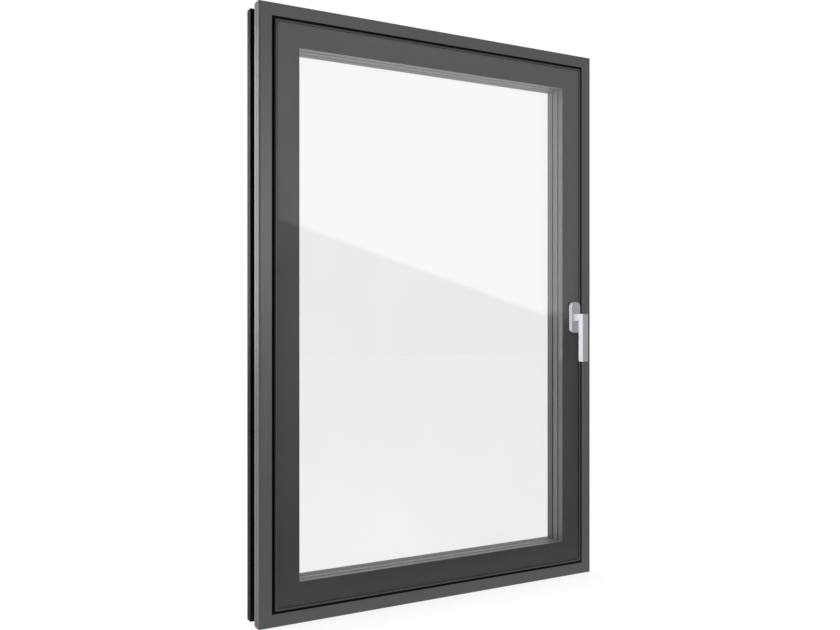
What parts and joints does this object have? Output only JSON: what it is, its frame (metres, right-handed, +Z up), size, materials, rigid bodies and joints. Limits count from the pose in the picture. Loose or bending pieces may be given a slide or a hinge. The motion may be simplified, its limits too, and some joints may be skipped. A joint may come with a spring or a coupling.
{
  "type": "flush triple glazed aluminium window",
  "caption": "Inward opening aluminium window with a slim mitred frame, a slim sash behind bonded glass with a dark border, and a silver lever handle.",
  "frame": {"origin": "on the underside of the frame's room shell, at mid width, 24 mm behind the room face of the glass", "axes": "+X to the right seen from the room, +Y out of the building, +Z up"},
  "size_m": [1, 0.15, 1.5],
  "materials": {
    "room_coat": "fine matt powder coat",
    "outside_coat": "black matt powder coat",
    "insulating_core": "glass-filled polyamide",
    "seal_rubber": "matt",
    "silicone": "matt",
    "clear_glass": "clear, polished",
    "fired_enamel": "fired enamel seen through glass",
    "spacer_composite": "satin grey",
    "silver_anodised": "satin anodised",
    "spindle_steel": "zinc plated"
  },
  "bodies": {
    "window": {"frame_inner_head": "room_coat", "frame_core_head": "insulating_core", "frame_outer_head": "outside_coat", "frame_inner_sill": "room_coat", "frame_core_sill": "insulating_core", "frame_outer_sill": "outside_coat", "frame_inner_jamb_left": "room_coat", "frame_core_jamb_left": "insulating_core", "frame_outer_jamb_left": "outside_coat", "frame_inner_jamb_right": "room_coat", "frame_core_jamb_right": "insulating_core", "frame_outer_jamb_right": "outside_coat", "sash_inner_top": "room_coat", "sash_core_top": "insulating_core", "sash_outer_top": "room_coat", "sash_inner_bottom": "room_coat", "sash_core_bottom": "insulating_core", "sash_outer_bottom": "room_coat", "sash_inner_left": "room_coat", "sash_core_left": "insulating_core", "sash_outer_left": "room_coat", "sash_inner_right": "room_coat", "sash_core_right": "insulating_core", "sash_outer_right": "room_coat", "rebate_gasket": "seal_rubber", "sash_edge_seal": "seal_rubber", "centre_gasket": "seal_rubber", "stop_gasket": "seal_rubber", "glazing_gasket": "seal_rubber", "inner_pane": "clear_glass", "middle_pane": "clear_glass", "outer_pane": "clear_glass", "enamel_border": "fired_enamel", "glass_bond": "silicone", "inner_edge_seal": "silicone", "outer_edge_seal": "silicone", "inner_spacer": "spacer_composite", "outer_spacer": "spacer_composite", "handle_rosette": "silver_anodised"},
    "handle": {"handle_lever": "silver_anodised", "handle_spindle": "spindle_steel"}
  },
  "joints": [
    {"name": "handle_turn", "type": "hinge", "parent": "window", "child": "handle", "pos_m": [0.435, -0.0355, 0.743], "axis": [0, 1, 0], "range_deg": [0, 180]}
  ]
}
